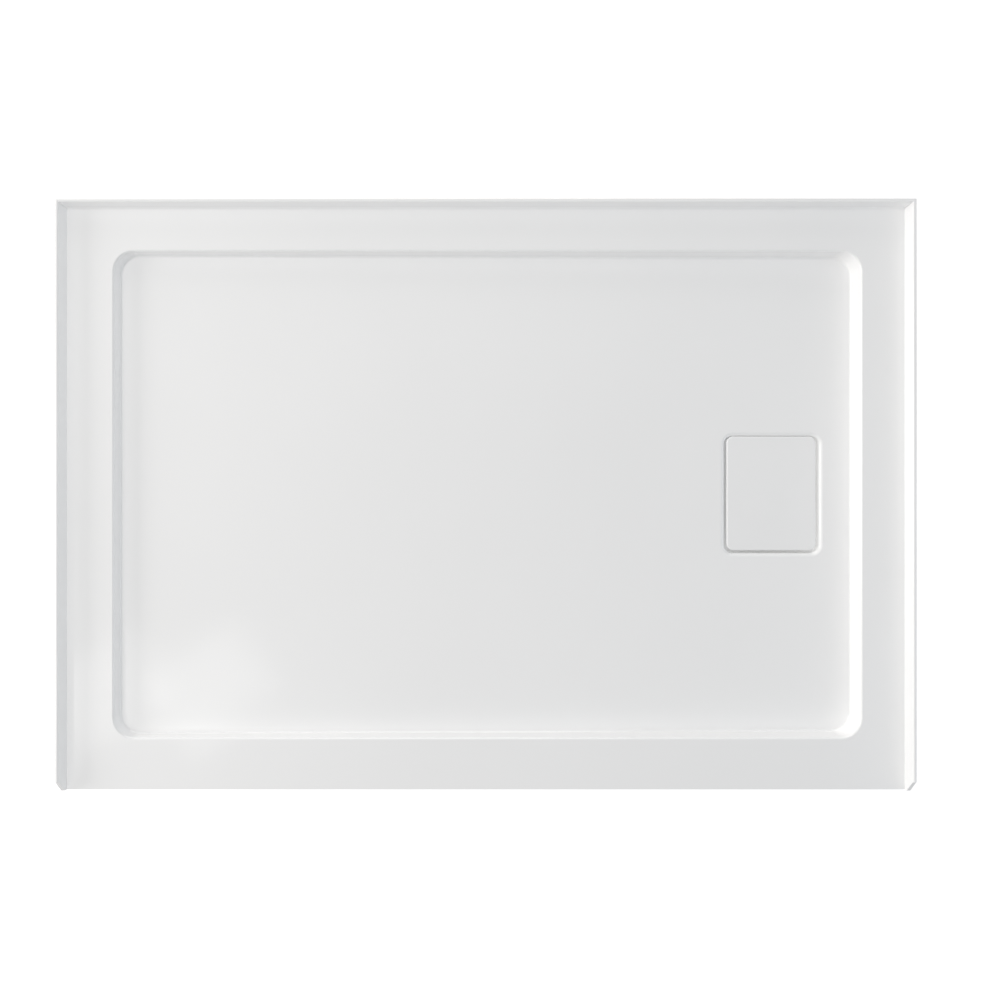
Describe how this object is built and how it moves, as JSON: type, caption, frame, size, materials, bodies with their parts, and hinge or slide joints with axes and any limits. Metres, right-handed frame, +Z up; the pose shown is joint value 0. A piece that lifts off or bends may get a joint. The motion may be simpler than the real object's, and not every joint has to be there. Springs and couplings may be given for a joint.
{
  "type": "shower tray",
  "caption": "Rectangular white acrylic alcove shower tray with tile flanges, recessed sloped floor, flush drain cover at the right end and levelling feet.",
  "frame": {"origin": "on the floor under the middle of the tray's outline", "axes": "+X along the length to the drain end, +Y to the back wall flange, +Z up; the open threshold faces -Y"},
  "size_m": [1.219, 0.844, 0.165],
  "materials": {
    "white_acrylic": "high-gloss thermoformed sanitary acrylic",
    "cover_acrylic": "high-gloss acrylic plate",
    "cover_plastic": "moulded ABS",
    "fibreglass": "sprayed chopped-strand laminate, rough",
    "rigid_foam": "closed-cell rigid foam, trimmed",
    "particle_board": "raw particle board",
    "batten_wood": "planed softwood",
    "grey_rubber": "moulded rubber",
    "black_rubber": "moulded rubber",
    "drain_plastic": "moulded PVC",
    "washer_board": "pressed fibre",
    "stainless": "brushed stainless sheet",
    "zinc_steel": "bright zinc plate",
    "galvanised_steel": "hot-dip galvanised sheet with spangle",
    "foot_plastic": "moulded black polyamide"
  },
  "bodies": {
    "tray": {"acrylic_shell": "white_acrylic", "fibreglass_backing": "fibreglass", "foam_core": "rigid_foam", "base_board": "particle_board", "threshold_batten": "batten_wood", "back_batten": "batten_wood", "left_batten": "batten_wood", "right_batten": "batten_wood", "drain_body": "drain_plastic", "drain_locknut": "drain_plastic", "pipe_compression_nut": "drain_plastic", "drain_flange_gasket": "black_rubber", "drain_rubber_washer": "black_rubber", "pipe_gasket": "black_rubber", "drain_friction_washer": "washer_board", "drain_strainer": "stainless", "bracket_screws": "zinc_steel", "foot_locknut_1": "zinc_steel", "foot_bracket_1": "galvanised_steel", "foot_locknut_2": "zinc_steel", "foot_bracket_2": "galvanised_steel", "foot_locknut_3": "zinc_steel", "foot_bracket_3": "galvanised_steel", "foot_locknut_4": "zinc_steel", "foot_bracket_4": "galvanised_steel", "foot_locknut_5": "zinc_steel", "foot_bracket_5": "galvanised_steel", "foot_locknut_6": "zinc_steel", "foot_bracket_6": "galvanised_steel"},
    "drain_cover": {"drain_cover_plate": "cover_acrylic", "drain_cover_backing": "cover_plastic", "cover_bumpers": "grey_rubber"},
    "pad_1": {"foot_pad_1": "foot_plastic"},
    "stud_1": {"foot_stud_1": "zinc_steel"},
    "pad_2": {"foot_pad_2": "foot_plastic"},
    "stud_2": {"foot_stud_2": "zinc_steel"},
    "pad_3": {"foot_pad_3": "foot_plastic"},
    "stud_3": {"foot_stud_3": "zinc_steel"},
    "pad_4": {"foot_pad_4": "foot_plastic"},
    "stud_4": {"foot_stud_4": "zinc_steel"},
    "pad_5": {"foot_pad_5": "foot_plastic"},
    "stud_5": {"foot_stud_5": "zinc_steel"},
    "pad_6": {"foot_pad_6": "foot_plastic"},
    "stud_6": {"foot_stud_6": "zinc_steel"}
  },
  "joints": [
    {"name": "cover_lift", "type": "slide", "parent": "tray", "child": "drain_cover", "axis": [0, 0, 1], "range_m": [0, 0.12]},
    {"name": "foot_1_height", "type": "slide", "parent": "tray", "child": "pad_1", "axis": [0, 0, -1], "range_m": [-0.008, 0.015]},
    {"name": "foot_1_turn", "type": "hinge", "parent": "pad_1", "child": "stud_1", "pos_m": [-0.47029, -0.28979, 0.014], "axis": [0, 0, -1], "range_deg": [-1925, 3607]},
    {"name": "foot_2_height", "type": "slide", "parent": "tray", "child": "pad_2", "axis": [0, 0, -1], "range_m": [-0.008, 0.015]},
    {"name": "foot_2_turn", "type": "hinge", "parent": "pad_2", "child": "stud_2", "pos_m": [0.0025, -0.28979, 0.014], "axis": [0, 0, -1], "range_deg": [-1925, 3607]},
    {"name": "foot_3_height", "type": "slide", "parent": "tray", "child": "pad_3", "axis": [0, 0, -1], "range_m": [-0.008, 0.015]},
    {"name": "foot_3_turn", "type": "hinge", "parent": "pad_3", "child": "stud_3", "pos_m": [0.47529, -0.28979, 0.014], "axis": [0, 0, -1], "range_deg": [-1925, 3607]},
    {"name": "foot_4_height", "type": "slide", "parent": "tray", "child": "pad_4", "axis": [0, 0, -1], "range_m": [-0.008, 0.015]},
    {"name": "foot_4_turn", "type": "hinge", "parent": "pad_4", "child": "stud_4", "pos_m": [-0.47029, 0.29629, 0.014], "axis": [0, 0, -1], "range_deg": [-1925, 3607]},
    {"name": "foot_5_height", "type": "slide", "parent": "tray", "child": "pad_5", "axis": [0, 0, -1], "range_m": [-0.008, 0.015]},
    {"name": "foot_5_turn", "type": "hinge", "parent": "pad_5", "child": "stud_5", "pos_m": [0.0025, 0.29629, 0.014], "axis": [0, 0, -1], "range_deg": [-1925, 3607]},
    {"name": "foot_6_height", "type": "slide", "parent": "tray", "child": "pad_6", "axis": [0, 0, -1], "range_m": [-0.008, 0.015]},
    {"name": "foot_6_turn", "type": "hinge", "parent": "pad_6", "child": "stud_6", "pos_m": [0.47529, 0.29629, 0.014], "axis": [0, 0, -1], "range_deg": [-1925, 3607]}
  ],
  "couplings": [
    {"joint": "foot_1_turn", "follows": "foot_1_height", "rad_per_m": 4188.8},
    {"joint": "foot_2_turn", "follows": "foot_2_height", "rad_per_m": 4188.8},
    {"joint": "foot_3_turn", "follows": "foot_3_height", "rad_per_m": 4188.8},
    {"joint": "foot_4_turn", "follows": "foot_4_height", "rad_per_m": 4188.8},
    {"joint": "foot_5_turn", "follows": "foot_5_height", "rad_per_m": 4188.8},
    {"joint": "foot_6_turn", "follows": "foot_6_height", "rad_per_m": 4188.8}
  ]
}
